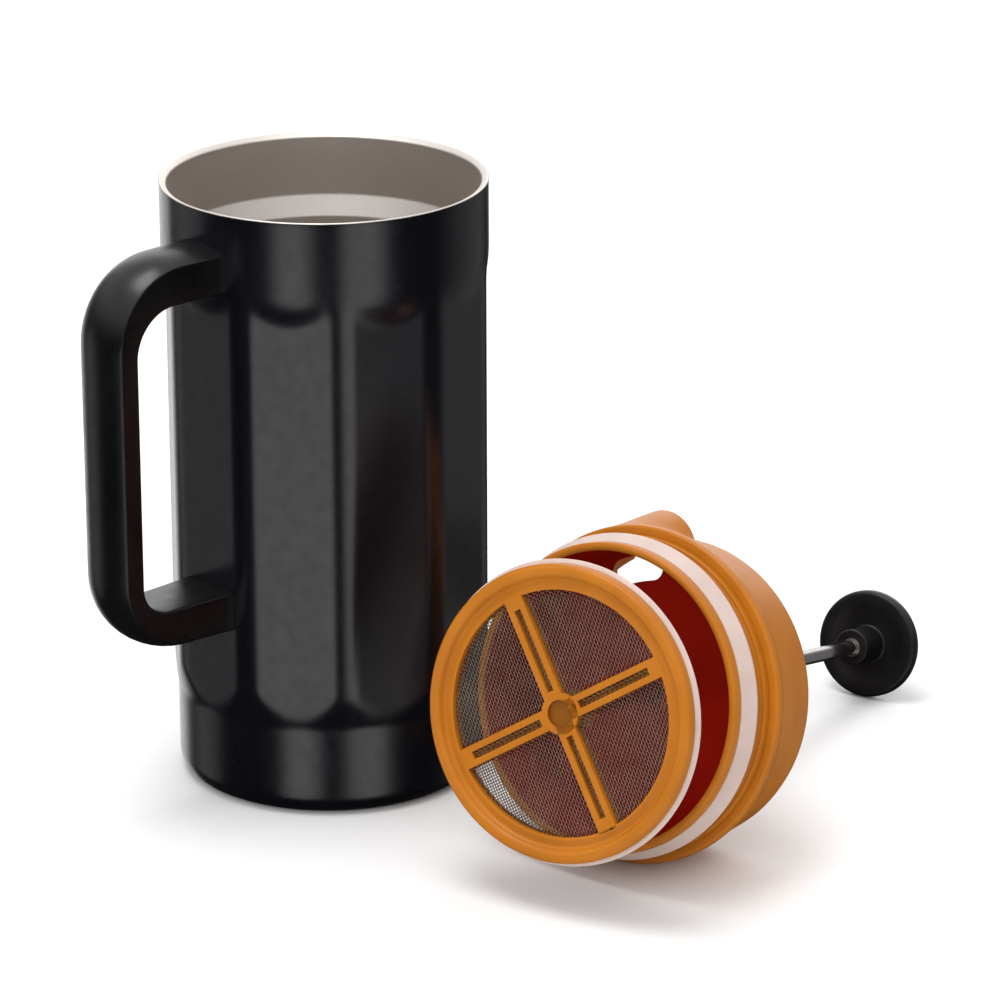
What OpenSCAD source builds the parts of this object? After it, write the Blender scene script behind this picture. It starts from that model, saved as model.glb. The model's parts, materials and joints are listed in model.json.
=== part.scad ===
// Insulated french press: a ten-sided double-wall pot with a side handle, and
// its lid and plunger laid on the table beside it.
// Millimetres. The pot stands on Z = 0 about the Z axis, with its handle on -X.

/* [Pot] */
// Outside diameter of the collar
collar_diameter = 105; // [100:0.5:110]
// Height of the rim above the table
pot_height = 199.5; // [190:0.5:215]
// Distance across two opposite flats of the body
across_flats = 100.8; // [98:0.2:101.4]
// Radius of the soft ridge between two flats
ridge_radius = 16; // [6:1:24]
// Diameter of the plain band at the foot
foot_diameter = 99.6; // [98:0.1:100.4]
// Rounding under the foot
foot_rounding = 6.3; // [3:0.1:8]
// Inside diameter of the mouth
mouth_diameter = 100; // [98:0.5:101]
// Depth of the wide mouth that takes the lid
mouth_depth = 20.8; // [19:0.1:24]
// Inside diameter of the brewing chamber
chamber_diameter = 93.6; // [92:0.2:94]
// Thickness of the steel sheet
sheet = 0.8; // [0.6:0.1:1]

/* [Handle] */
// Width of the grip across its flat sides
grip_width = 20; // [16:0.5:24]
// Distance from the pot axis to the grip's finger side
grip_reach = 85.2; // [82:0.2:92]
// Thickness of the grip at its flat sides
grip_thickness = 6.8; // [5:0.2:9]
// Height of the finger gap's lower side
gap_bottom = 74; // [66:0.1:80]
// Height of the finger gap's upper side
gap_top = 173.6; // [160:0.1:178]
// Thickness of the two arms at their flat sides
arm_thickness = 12.3; // [8:0.1:13]
// Rise of the crowned outer face
grip_crown = 3; // [1:0.1:3.5]

/* [Lid] */
// Outside diameter of the lid's flange
flange_diameter = 106.4; // [104:0.2:108]
// Inside diameter of the skirt
skirt_bore = 92; // [90:0.5:92]
// Outside diameter of the skirt
skirt_diameter = 97.4; // [96:0.2:98]
// Free diameter of the silicone lip
lid_seal_diameter = 102.4; // [101:0.2:103]
// Length of the skirt below the flange
skirt_length = 17.2; // [16:0.2:18.5]
// Height of the lid from the skirt's edge to its top rim
lid_height = 45.3; // [42:0.1:48]
// Height of the plate above the skirt's edge
plate_level = 29.6; // [27:0.1:32]
// Diameter of the lid's top rim
crown_diameter = 93.2; // [92:0.2:98]

/* [Plunger] */
// Diameter of the rod
rod_diameter = 5; // [4:0.1:6]
// Diameter of the loose hole that guides the rod
guide_bore = 6.8; // [6.2:0.1:8]
// Distance from the filter's front face to the far side of the knob
plunger_length = 211.5; // [200:0.5:215]
// Diameter of the knob's disc
knob_diameter = 36.2; // [30:0.2:40]
// Outside diameter of the filter frame
filter_diameter = 92.2; // [90:0.2:92.6]
// Free diameter of the filter's silicone wiper
wiper_diameter = 94.6; // [93:0.2:95.4]
// Diameter of the open mesh
mesh_diameter = 76.2; // [70:0.2:80]
// Width of a spoke
spoke_width = 6.4; // [5:0.1:8]

/* [Hidden] */

$fa = 3;
$fs = 0.6;

// colours
steel = [0.62, 0.60, 0.58];
black = [0.05, 0.05, 0.06];
orange = [0.80, 0.47, 0.13];
pale = [0.86, 0.74, 0.70];

// play left between two pieces that are fixed together
gap = 0.1;

// pot
flats = 10;
collar_r = collar_diameter / 2;
apothem = across_flats / 2;
ridge_rise = 0.02;
ridge_centre_r = (apothem + ridge_rise - ridge_radius) / cos(180 / flats);
flat_width = 2 * ridge_centre_r * sin(180 / flats);
foot_r = foot_diameter / 2;
mouth_r = mouth_diameter / 2;
chamber_r = chamber_diameter / 2;
rim_height = 0.6;
rim_round = 0.3;
rim_fall = 1.3;
lip_depth = 3;
mouth_floor = pot_height - mouth_depth;
shoulder_drop = 6.5;
shoulder_low = mouth_floor - shoulder_drop;
chamber_floor = 12;
chamber_corner = 8;
scallop_top = pot_height - 22;
scallop_low = scallop_top - 12.5;
scallop_in = collar_r - apothem + 0.1;
scallop_r = (pow(scallop_top - scallop_low, 2) + pow(scallop_in, 2)) / (2 * scallop_in);
foot_top = 30;
taper_top = 42;
base_r = foot_r - foot_rounding - 1.3;
pan_height = 2.4;
pan_sheet = 1.2;
pan_rim = 3;
bead_r = 7;
bead_sink = 4;

// handle
grip_out = grip_reach + grip_thickness;
crown_r = (pow(grip_width / 2, 2) + pow(grip_crown, 2)) / (2 * grip_crown);
outer_corner = 24.5;
inner_corner_top = 15;
inner_corner_low = 10;
handle_low = gap_bottom - arm_thickness;
handle_top = gap_top + arm_thickness;
arm_root = 40;
bracket_width = 11;
bracket_height = 4.6;
bracket_reach = 67;
screw_r = 2;
screw_head_r = 3.4;
screw_head_height = 1.5;
hex_r = 1.3;
hex_depth = 0.9;
bracket_cover = 2.6;
screw_x = -61;
upper_bracket_z = gap_top + bracket_cover;
lower_bracket_z = gap_bottom - bracket_cover - bracket_height;

// lid, measured up from the edge of its skirt
flange_r = flange_diameter / 2;
skirt_in_r = skirt_bore / 2;
skirt_out_r = skirt_diameter / 2;
lid_top_r = crown_diameter / 2;
wall = 2.2;
flange_edge = 1.2;
flange_band = 2.4;
neck_in = 1.6;
neck_height = 6;
rim_bevel = 2.4;
basin_draft = 1.2;
guide_wall = 2.4;
guide_below = 2;
guide_above = 3;
plate = 2.4;
groove_low = 3.8;
groove_high = 10.6;
groove_r = skirt_in_r + 1;
step_low = 14.4;
step_r = flange_r - 3;
socket_r = skirt_out_r - 0.5;
spout_r = 12.5;
spout_tip_r = 57;
spout_foot_r = flange_r - 0.6;
spout_lean = atan((spout_tip_r - spout_foot_r) / (lid_height - skirt_length));
pour_in_r = 35;
pour_out_r = 43.4;
pour_half_angle = 14;
guide_r = guide_bore / 2;

// plunger, measured back from the filter's front face
rod_r = rod_diameter / 2;
filter_r = filter_diameter / 2;
wiper_r = wiper_diameter / 2;
mesh_r = mesh_diameter / 2;
rim_in_r = mesh_r + 3.4;
frame_back = 3.8;
spoke_front = 1.8;
mesh_sheet = 0.4;
mesh_back = frame_back + mesh_sheet;
filter_depth = 7.4;
hub_r = 6.4;
hub_recess_r = 4.3;
hub_floor = 0.5;
slot_width = 2.4;
slot_start = 7.4;
slot_end = 34.4;
knob_r = knob_diameter / 2;
knob_sheet = 4.2;
knob_front = plunger_length - knob_sheet;
boss_length = 11;
boss_r = 6;
insert_r = rod_r + 0.7;

// where the lid and the plunger lie: the point where the rod crosses the
// lid's plate, then each axis as a fall below level and a heading from +X
crossing = [32.6, -119.7, 49.25];
lid_fall = 13.5;
lid_heading = 10;
plunger_fall = 12.4;
plunger_heading = 15.2;
lid_roll = 159.5;
plunger_roll = 56.5;
filter_setback = 63.8;

// ---------- placing ----------

// stands a piece drawn about +Z on the lid's axis
module on_lid() {
    translate(crossing)
        rotate([0, 90 + lid_fall, lid_heading])
            rotate([0, 0, lid_roll])
                translate([0, 0, -plate_level - plate / 2])
                    children();
}

// stands a piece drawn about +Z on the plunger's axis
module on_plunger() {
    translate(crossing)
        rotate([0, 90 + plunger_fall, plunger_heading])
            rotate([0, 0, plunger_roll])
                translate([0, 0, -filter_setback])
                    children();
}

// copies a piece onto each of the four spokes
module on_spokes() {
    for (turn = [0 : 90 : 270])
        rotate([0, 0, turn])
            children();
}

// a plain ring between two radii and two heights
module ring(inner, outer, low, high) {
    translate([0, 0, low])
        difference() {
            cylinder(r = outer, h = high - low);
            translate([0, 0, -1])
                cylinder(r = inner, h = high - low + 2);
        }
}

// ---------- pot ----------

// the ten-sided section with a round ridge at each corner, shrunk by an inset
module body_section(inset) {
    rotate(180 / flats)
        circle(r = ridge_centre_r, $fn = flats);
    for (side = [0 : flats - 1])
        rotate(side * 360 / flats) {
            translate([0, -flat_width / 2])
                square([apothem - inset, flat_width]);
            rotate(180 / flats)
                translate([ridge_centre_r, 0])
                    circle(r = ridge_radius - inset);
        }
}

// the round envelope that narrows the ridges down to the foot
module foot_envelope(inset) {
    rotate_extrude() {
        polygon([[0, foot_rounding], [foot_r - inset, foot_rounding],
                 [foot_r - inset, foot_top], [collar_r - inset, taper_top],
                 [collar_r - inset, scallop_top], [0, scallop_top]]);
        translate([0, inset])
            square([foot_r - foot_rounding, foot_rounding - inset + 1]);
        intersection() {
            translate([foot_r - foot_rounding, foot_rounding])
                circle(r = foot_rounding - inset);
            square([foot_r, foot_rounding]);
        }
    }
}

// the round collar with the curve that runs out on the flats
module collar_envelope(inset) {
    rotate_extrude() {
        translate([0, scallop_top])
            square([collar_r - inset, pot_height - rim_height - scallop_top]);
        intersection() {
            translate([collar_r - scallop_r, scallop_top])
                circle(r = scallop_r - inset);
            translate([0, scallop_low])
                square([collar_r, scallop_top - scallop_low]);
        }
    }
}

// the pot's outer form, shrunk by an inset
module shell_form(inset) {
    intersection() {
        linear_extrude(scallop_top - 2)
            body_section(inset);
        foot_envelope(inset);
    }
    collar_envelope(inset);
}

module outer_shell() {
    color(black)
        difference() {
            shell_form(0);
            shell_form(sheet);
            translate([0, 0, pot_height - 20])
                cylinder(r = collar_r - sheet, h = 20);
            translate([0, 0, -1])
                cylinder(r = base_r + gap, h = 4);
        }
}

// the outline of the inside of the pot, from the axis outwards
module liner_cavity() {
    square([chamber_r - chamber_corner, shoulder_low - chamber_floor]);
    translate([0, chamber_corner])
        square([chamber_r, shoulder_low - chamber_floor - chamber_corner]);
    intersection() {
        translate([chamber_r - chamber_corner, chamber_corner])
            circle(r = chamber_corner);
        square(chamber_r);
    }
    translate([0, -chamber_floor])
        polygon([[0, shoulder_low - 1], [chamber_r, shoulder_low - 1],
                 [chamber_r, shoulder_low], [mouth_r, mouth_floor],
                 [mouth_r, pot_height + 1], [0, pot_height + 1]]);
}

module inner_liner() {
    lip_r = collar_r - sheet - gap;
    color(steel)
        rotate_extrude()
            difference() {
                union() {
                    polygon([[0, chamber_floor - sheet],
                             [chamber_r + sheet - chamber_corner, chamber_floor - sheet],
                             [chamber_r + sheet, chamber_floor + chamber_corner],
                             [chamber_r + sheet, shoulder_low],
                             [mouth_r + sheet, mouth_floor],
                             [mouth_r + sheet, pot_height - lip_depth],
                             [0, pot_height - lip_depth]]);
                    translate([0, chamber_floor - sheet])
                        intersection() {
                            translate([chamber_r + sheet - chamber_corner, chamber_corner])
                                circle(r = chamber_corner);
                            square(chamber_r + sheet);
                        }
                    polygon([[mouth_r, pot_height - lip_depth],
                             [lip_r, pot_height - lip_depth],
                             [lip_r, pot_height - rim_height + gap],
                             [collar_r, pot_height - rim_height + gap],
                             [collar_r, pot_height - rim_round],
                             [collar_r - rim_round, pot_height],
                             [mouth_r, pot_height - rim_fall]]);
                    translate([collar_r - rim_round, pot_height - rim_round])
                        circle(r = rim_round);
                }
                translate([0, chamber_floor])
                    liner_cavity();
            }
}

module base_pan() {
    color(steel)
        difference() {
            cylinder(r = base_r, h = pan_height);
            translate([0, 0, pan_sheet])
                cylinder(r = base_r - pan_rim, h = pan_height);
        }
}

// the bead that closes the evacuation port, on the inside of the base pan
module vacuum_seal() {
    color(steel)
        translate([0, 0, pan_sheet + gap])
            rotate_extrude()
                intersection() {
                    translate([0, -bead_sink])
                        circle(r = bead_r);
                    square([bead_r, bead_r - bead_sink]);
                }
}

// ---------- handle ----------

// the flat sides of the handle, in its own plane
module handle_side() {
    difference() {
        union() {
            translate([arm_root, handle_low])
                square([grip_out - outer_corner - arm_root, handle_top - handle_low]);
            translate([arm_root, handle_low + outer_corner])
                square([grip_out - arm_root, handle_top - handle_low - 2 * outer_corner]);
            for (level = [handle_low + outer_corner, handle_top - outer_corner])
                translate([grip_out - outer_corner, level])
                    circle(r = outer_corner);
        }
        translate([0, gap_bottom])
            square([grip_reach - inner_corner_top, gap_top - gap_bottom]);
        translate([0, gap_bottom])
            square([grip_reach - inner_corner_low, gap_top - gap_bottom - inner_corner_top]);
        translate([0, gap_bottom + inner_corner_low])
            square([grip_reach, gap_top - gap_bottom - inner_corner_top - inner_corner_low]);
        translate([grip_reach - inner_corner_top, gap_top - inner_corner_top])
            circle(r = inner_corner_top);
        translate([grip_reach - inner_corner_low, gap_bottom + inner_corner_low])
            circle(r = inner_corner_low);
    }
}

// the low arc that crowns the outer face, standing on the line x = 0
module crown_section() {
    intersection() {
        translate([grip_crown - crown_r, 0])
            circle(r = crown_r);
        translate([-1, -grip_width / 2])
            square([grip_crown + 1, grip_width]);
    }
}

// the crown along one arm, from the pot out to the corner
module arm_crown() {
    rotate([90, 0, 90])
        linear_extrude(grip_out - outer_corner - arm_root)
            rotate(90)
                crown_section();
}

// the crown round one corner of the handle
module corner_crown() {
    rotate([90, 0, 0])
        rotate_extrude(angle = 90)
            translate([outer_corner, 0])
                crown_section();
}

// one piece of the handle, cut back to where the pot begins
module clear_of_pot() {
    difference() {
        children();
        pot_clearance(gap);
    }
}

module handle_body() {
    clear_of_pot()
        rotate([90, 0, 0])
            linear_extrude(grip_width, center = true)
                handle_side();
    translate([grip_out, 0, handle_low + outer_corner])
        linear_extrude(handle_top - handle_low - 2 * outer_corner)
            crown_section();
    clear_of_pot()
        translate([arm_root, 0, handle_top])
            arm_crown();
    clear_of_pot()
        translate([arm_root, 0, handle_low])
            mirror([0, 0, 1])
                arm_crown();
    translate([grip_out - outer_corner, 0, handle_top - outer_corner])
        corner_crown();
    translate([grip_out - outer_corner, 0, handle_low + outer_corner])
        mirror([0, 0, 1])
            corner_crown();
}

// a block that fills one bracket, grown by a margin on every free side
module bracket_block(level, margin) {
    translate([-bracket_reach - margin, -bracket_width / 2 - margin, level - margin])
        cube([bracket_reach - arm_root, bracket_width + 2 * margin, bracket_height + 2 * margin]);
}

// what the pot takes out of the handle and its brackets
module pot_clearance(margin) {
    translate([0, 0, scallop_low])
        cylinder(r = collar_r + margin, h = pot_height);
    translate([-apothem - margin, -collar_r, 0])
        cube([2 * (apothem + margin), 2 * collar_r, scallop_low]);
}

module handle_grip() {
    color(black)
        difference() {
            rotate([0, 0, 180])
                handle_body();
            bracket_block(upper_bracket_z, gap);
            bracket_block(lower_bracket_z, gap);
            translate([screw_x, 0, gap_top - 1])
                cylinder(r = screw_r + gap, h = 8);
            translate([screw_x, 0, gap_top - 1])
                cylinder(r = screw_head_r + gap, h = 1 + screw_head_height + gap);
            translate([screw_x, 0, handle_low - grip_crown - 1])
                cylinder(r = screw_r + gap, h = arm_thickness);
            translate([screw_x, 0, handle_low - grip_crown - 1])
                cylinder(r = screw_head_r + gap, h = grip_crown + 1 + screw_head_height + 2 * gap);
        }
}

module bracket(level) {
    color(steel)
        difference() {
            bracket_block(level, 0);
            pot_clearance(gap / 2);
            translate([screw_x, 0, level - 1])
                cylinder(r = screw_r + gap, h = bracket_height + 2);
        }
}

// a pan-head screw drawn upwards from its head
module screw(length) {
    difference() {
        union() {
            cylinder(r = screw_head_r, h = screw_head_height);
            cylinder(r = screw_r, h = length);
        }
        translate([0, 0, -1])
            cylinder(r = hex_r, h = 1 + hex_depth, $fn = 6);
    }
}

module screw_upper() {
    color(steel)
        translate([screw_x, 0, gap_top])
            screw(upper_bracket_z + bracket_height - gap_top);
}

module screw_lower() {
    color(steel)
        translate([screw_x, 0, handle_low + gap])
            screw(lower_bracket_z + bracket_height - handle_low - gap);
}

// ---------- lid ----------

// the round body of the lid shell with its flange at the foot
module lid_outside() {
    rotate_extrude() {
        polygon([[0, skirt_length], [flange_r - flange_edge, skirt_length],
                 [flange_r, skirt_length + flange_edge], [flange_r, skirt_length + flange_band],
                 [flange_r - neck_in, skirt_length + neck_height],
                 [lid_top_r + 1, lid_height - rim_bevel],
                 [lid_top_r, lid_height], [0, lid_height]]);
    }
}

// the leaning round pipe that swells into the spout
module spout_pipe(radius, low) {
    intersection() {
        translate([spout_foot_r - spout_r, 0, skirt_length])
            rotate([0, spout_lean, 0])
                translate([0, 0, -20])
                    cylinder(r = radius, h = lid_height + 20);
        translate([0, -30, low])
            cube([80, 60, lid_height - low]);
    }
}

// the curved slot in the plate under the spout
module pour_hole() {
    slot_r = (pour_out_r - pour_in_r) / 2;
    middle_r = (pour_out_r + pour_in_r) / 2;
    slot_half_angle = pour_half_angle - asin(slot_r / middle_r);
    translate([0, 0, plate_level - 1])
        linear_extrude(plate + 2) {
            intersection() {
                difference() {
                    circle(r = pour_out_r);
                    circle(r = pour_in_r);
                }
                polygon([[0, 0],
                         [80 * cos(slot_half_angle), -80 * sin(slot_half_angle)],
                         [80 * cos(slot_half_angle), 80 * sin(slot_half_angle)]]);
            }
            for (side = [-1, 1])
                rotate(side * slot_half_angle)
                    translate([middle_r, 0])
                        circle(r = slot_r);
        }
}

// the short tube round the rod's hole, grown by a margin at both ends
module guide_tube(radius, margin) {
    translate([0, 0, plate_level - guide_below - margin])
        cylinder(r = radius, h = guide_below + plate + guide_above + 2 * margin);
}

// the basin above the plate, open at the top
module basin() {
    basin_low = plate_level + plate;
    translate([0, 0, basin_low])
        cylinder(r1 = lid_top_r - wall + basin_draft, r2 = lid_top_r - wall,
                 h = lid_height - basin_low);
    translate([0, 0, lid_height - 1])
        cylinder(r = lid_top_r - wall, h = 3);
    spout_pipe(spout_r - wall, basin_low);
    translate([0, 0, 0.5])
        spout_pipe(spout_r - wall, basin_low);
}

module lid_shell() {
    color(orange)
        on_lid()
            difference() {
                union() {
                    lid_outside();
                    spout_pipe(spout_r, skirt_length + flange_edge);
                    guide_tube(guide_r + guide_wall, 0);
                }
                difference() {
                    translate([0, 0, skirt_length - 1])
                        cylinder(r = socket_r, h = plate_level - skirt_length + 1);
                    guide_tube(guide_r + guide_wall, 0);
                }
                difference() {
                    basin();
                    guide_tube(guide_r + guide_wall, 0);
                }
                pour_hole();
                guide_tube(guide_r, 2);
            }
}

// the skirt: a rounded edge, the groove for the seal, a step and the part in the socket
module lid_skirt() {
    edge_round = 1;
    color(orange)
        on_lid()
            rotate_extrude()
                difference() {
                    union() {
                        for (middle = [skirt_in_r + edge_round, skirt_out_r - edge_round])
                            translate([middle, edge_round])
                                circle(r = edge_round);
                        translate([skirt_in_r + edge_round, 0])
                            square([skirt_out_r - skirt_in_r - 2 * edge_round, 2 * edge_round]);
                        translate([skirt_in_r, edge_round])
                            square([skirt_out_r - skirt_in_r, groove_low]);
                        translate([skirt_in_r, edge_round])
                            square([socket_r - skirt_in_r - gap, plate_level - edge_round - gap]);
                        translate([skirt_in_r, step_low])
                            square([step_r - skirt_in_r, skirt_length - gap - step_low]);
                    }
                    translate([groove_r, groove_low])
                        square([lid_seal_diameter, groove_high - groove_low]);
                }
}

// the soft ring in the groove, with one lip that leans back to the flange
module lid_seal() {
    seal_r = lid_seal_diameter / 2;
    color(pale)
        on_lid()
            rotate_extrude()
                polygon([[groove_r + gap, groove_low + gap],
                         [skirt_out_r, groove_low + gap],
                         [seal_r, groove_low + 4.8],
                         [seal_r - 0.3, groove_low + 5.7],
                         [skirt_out_r, groove_high - gap],
                         [groove_r + gap, groove_high - gap]]);
}

// ---------- plunger ----------

module plunger_rod() {
    color(steel)
        on_plunger()
            translate([0, 0, mesh_back + gap])
                cylinder(r = rod_r, h = knob_front - mesh_back - gap - 1);
}

// the disc that the palm presses, dished on the side of the rod
module knob() {
    dish_r = 60;
    color(black)
        on_plunger()
            difference() {
                union() {
                    translate([0, 0, knob_front])
                        rotate_extrude() {
                            square([knob_r - 1.8, knob_sheet]);
                            translate([knob_r - 1.8, 1.8])
                                circle(r = 1.8);
                            translate([0, 1.8])
                                square([knob_r, knob_sheet - 3]);
                            translate([knob_r - 1.2, knob_sheet - 1.2])
                                circle(r = 1.2);
                        }
                    translate([0, 0, knob_front - boss_length])
                        cylinder(r = boss_r, h = boss_length + 1);
                }
                difference() {
                    translate([0, 0, knob_front + 1.2 - dish_r])
                        sphere(r = dish_r);
                    translate([0, 0, knob_front - boss_length - 1])
                        cylinder(r = boss_r, h = boss_length + 6);
                    ring(knob_r - 4, knob_r + 50, knob_front - 200, knob_front + 10);
                }
                translate([0, 0, knob_front - boss_length - 1])
                    cylinder(r = insert_r + gap, h = boss_length + 1 + gap);
            }
}

// the threaded steel sleeve in the boss
module knob_insert() {
    color(steel)
        on_plunger()
            ring(rod_r + gap, insert_r, knob_front - boss_length, knob_front - 0.5 - gap);
}

// one spoke, drawn along +X between the hub and the rim
module spoke(low, high) {
    translate([0, -spoke_width / 2, low])
        cube([mesh_r + 1, spoke_width, high - low]);
}

// the front half: a rounded rim, four slotted spokes and a hub with a recess
module filter_frame() {
    rim_round = 1.6;
    color(orange)
        on_plunger()
            difference() {
                union() {
                    rotate_extrude() {
                        translate([rim_in_r, rim_round])
                            square([filter_r - rim_in_r, frame_back - rim_round]);
                        translate([rim_in_r + rim_round, 0])
                            square([filter_r - rim_in_r - 2 * rim_round, frame_back]);
                        translate([rim_in_r + rim_round, rim_round])
                            circle(r = rim_round);
                        translate([filter_r - rim_round, rim_round])
                            circle(r = rim_round);
                        translate([mesh_r, spoke_front])
                            square([rim_in_r - mesh_r + 1, frame_back - spoke_front]);
                    }
                    on_spokes()
                        spoke(spoke_front, frame_back);
                    translate([0, 0, spoke_front])
                        cylinder(r = hub_r, h = frame_back - spoke_front);
                }
                translate([0, 0, -1])
                    cylinder(r = hub_recess_r, h = frame_back - hub_floor + 1);
                on_spokes()
                    translate([slot_start, -slot_width / 2, 0])
                        cube([slot_end - slot_start, slot_width, frame_back + 1]);
            }
}

module filter_mesh() {
    color(steel)
        on_plunger()
            translate([0, 0, frame_back + gap / 2])
                cylinder(r = rim_in_r + 1.5, h = mesh_sheet - gap);
}

// the back half: a ring, four spokes and the socket for the rod
module filter_back() {
    color(orange)
        on_plunger()
            difference() {
                union() {
                    ring(mesh_r, filter_r - 2.4, mesh_back, mesh_back + 2.2);
                    ring(filter_r - 4.4, filter_r - 2.4, mesh_back, filter_depth);
                    on_spokes()
                        spoke(mesh_back, mesh_back + 2.2);
                    translate([0, 0, mesh_back])
                        cylinder(r = hub_r, h = 9);
                }
                translate([0, 0, mesh_back - 1])
                    cylinder(r = rod_r + gap, h = 12);
                translate([0, 0, mesh_back - 1])
                    cylinder(r = 4.2, h = 4.2);
            }
}

// the nut that holds the rod's foot in the back half
module hub_nut() {
    color(steel)
        on_plunger()
            ring(rod_r + gap, 4, mesh_back + gap, mesh_back + 3);
}

// the wiper pinched between the two halves
module filter_seal() {
    root_r = filter_r - 2.3;
    color(pale)
        on_plunger()
            rotate_extrude()
                polygon([[root_r, frame_back + gap], [filter_r, frame_back + gap],
                         [wiper_r, frame_back + 0.9], [wiper_r, frame_back + 1.5],
                         [filter_r - 0.6, frame_back + 2.2], [root_r, frame_back + 2.4]]);
}

outer_shell();
inner_liner();
base_pan();
vacuum_seal();
handle_grip();
bracket(upper_bracket_z);  // bracket_upper
bracket(lower_bracket_z);  // bracket_lower
screw_upper();
screw_lower();
lid_shell();
lid_skirt();
lid_seal();
plunger_rod();
knob();
knob_insert();
filter_frame();
filter_back();
filter_mesh();
filter_seal();
hub_nut();
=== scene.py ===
import json
from math import acos, asin, atan2, cos, hypot, pi, radians, sin, sqrt, tan
import bmesh
import bpy
from mathutils import Matrix, Vector


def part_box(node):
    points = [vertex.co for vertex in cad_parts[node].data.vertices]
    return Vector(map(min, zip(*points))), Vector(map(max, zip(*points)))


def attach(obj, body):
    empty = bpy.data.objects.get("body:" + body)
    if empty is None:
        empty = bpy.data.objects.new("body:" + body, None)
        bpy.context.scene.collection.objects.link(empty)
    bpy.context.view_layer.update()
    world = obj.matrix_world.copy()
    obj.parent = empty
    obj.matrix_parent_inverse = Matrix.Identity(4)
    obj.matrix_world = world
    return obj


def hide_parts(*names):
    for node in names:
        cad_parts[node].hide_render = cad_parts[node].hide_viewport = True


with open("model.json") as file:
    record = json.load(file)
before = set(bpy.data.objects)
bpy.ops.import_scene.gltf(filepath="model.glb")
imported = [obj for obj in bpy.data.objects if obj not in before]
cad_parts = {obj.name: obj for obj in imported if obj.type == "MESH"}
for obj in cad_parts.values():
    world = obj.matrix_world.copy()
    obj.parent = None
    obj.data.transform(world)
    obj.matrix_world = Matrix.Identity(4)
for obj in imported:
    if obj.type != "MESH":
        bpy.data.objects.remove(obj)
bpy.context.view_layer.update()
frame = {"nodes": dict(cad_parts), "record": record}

# An insulated french press: the pot stands open, and its lid and plunger lie beside it.
# Sizes are in millimetres here and are scaled to metres where a mesh is made.
MM = 0.001
mounts = {m["name"]: m for m in frame["record"]["mounts"]}
# the play left between two pieces that are fixed together
play = 0.1

# ---------- sizes ----------

# pot
pot_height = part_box("inner_liner")[1].z / MM
rim_fall = pot_height - mounts["mouth"]["pos_m"][2] / MM
mouth_r = mounts["mouth"]["dims"]["r_mm"]
mouth_depth = mounts["mouth"]["dims"]["length_mm"] + rim_fall
collar_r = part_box("outer_shell")[1].x / MM
sheet = 0.8
rim_height = 0.6
lip_depth = 3
flats = 10
apothem = collar_r - 2.1
ridge_radius = 16
foot_r = collar_r - 2.7
foot_rounding = 6.3
foot_top = 30
taper_top = 42
scallop_top = pot_height - 22
scallop_low = scallop_top - 12.5
chamber_r = 46.8
chamber_floor = 12
chamber_corner = 8
shoulder_drop = 6.5
# the opening in the shell's foot, which the base pan closes
base_hole_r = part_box("base_pan")[1].x / MM + 0.4

# handle
handle_low_corner, handle_high_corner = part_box("handle_grip")
grip_width = (handle_high_corner.y - handle_low_corner.y) / MM
grip_crown = 3
grip_thickness = 6.8
arm_thickness = 12.3
arm_flare = 1.2
grip_out = -handle_low_corner.x / MM - grip_crown
grip_in = grip_out - grip_thickness
handle_top = handle_high_corner.z / MM - grip_crown
handle_low = handle_low_corner.z / MM + grip_crown
gap_top = handle_top - arm_thickness
gap_low = handle_low + arm_thickness
outer_corner = 24.5
inner_corner_top = 15
inner_corner_low = 10
edge_inside = 0.8
edge_outside = 0.7
screw_x = -61
screw_hole_r = 3.5
screw_hole_depth = 1.6

# lid, measured up from the edge of its skirt
flange_r = 53.2
skirt_in_r = 46
skirt_out_r = 48.7
lid_seal_r = 51.2
skirt_length = 17.2
lid_height = 45.3
groove_low = 3.8
groove_high = 10.6
groove_r = skirt_in_r + 1
step_low = 14.4
step_r = flange_r - 3
socket_r = skirt_out_r - 0.5
flange_band = 2.4
neck_r = flange_r - 1.6
neck_level = skirt_length + 6
plate_level = 29.6
plate = 2.4
basin_low = plate_level + plate
lid_top_r = 46.6
bevel_r = lid_top_r + 1
bevel_low = lid_height - 2.4
wall = 2.2
basin_draft = 1.2
spout_r = 12.5
spout_tip_r = 57
spout_foot_r = flange_r - 0.6
pour_in_r = 35
pour_out_r = 43.4
pour_half_angle = radians(14)
guide_r = 3.4
guide_out_r = guide_r + 2.4
guide_low = plate_level - 2
guide_high = basin_low + 2.6

# plunger, measured back from the filter's front face
rod_r = 2.5
filter_r = 46.1
wiper_r = 47.3
mesh_r = 38.1
rim_in_r = mesh_r + 3.4
frame_back = 3.8
spoke_front = 1.8
cove_depth = 2.5
mesh_back = 4.2
filter_depth = 7.4
back_ring_r = filter_r - 2.4
back_sheet = 2.2
socket_length = 9
wiper_root_r = filter_r - 2.3
spoke_width = 6.4
spoke_length = mesh_r + 1.2
slot_width = 2.4
slot_start = 7.4
slot_end = 34.4
hub_r = 6.4
hub_recess_r = 4.3
hub_floor = 0.5
weave_pitch = 0.9
wire_r = 0.17
wire_sides = 5
knob_r = 18.1
knob_sheet = 4.2
dish_r = knob_r - 4
dish_depth = 1.1
plunger_length = 211.5
knob_front = plunger_length - knob_sheet
boss_length = 11
boss_r = 6
boss_bore_r = rod_r + 0.8

# where the lid and the plunger lie
crossing = Vector((32.6, -119.7, 49.25)) * MM
lid_angles = (radians(10), radians(90 + 13.5), radians(159.5))
plunger_angles = (radians(15.2), radians(90 + 12.4), radians(56.5))
filter_setback = 63.8


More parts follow.
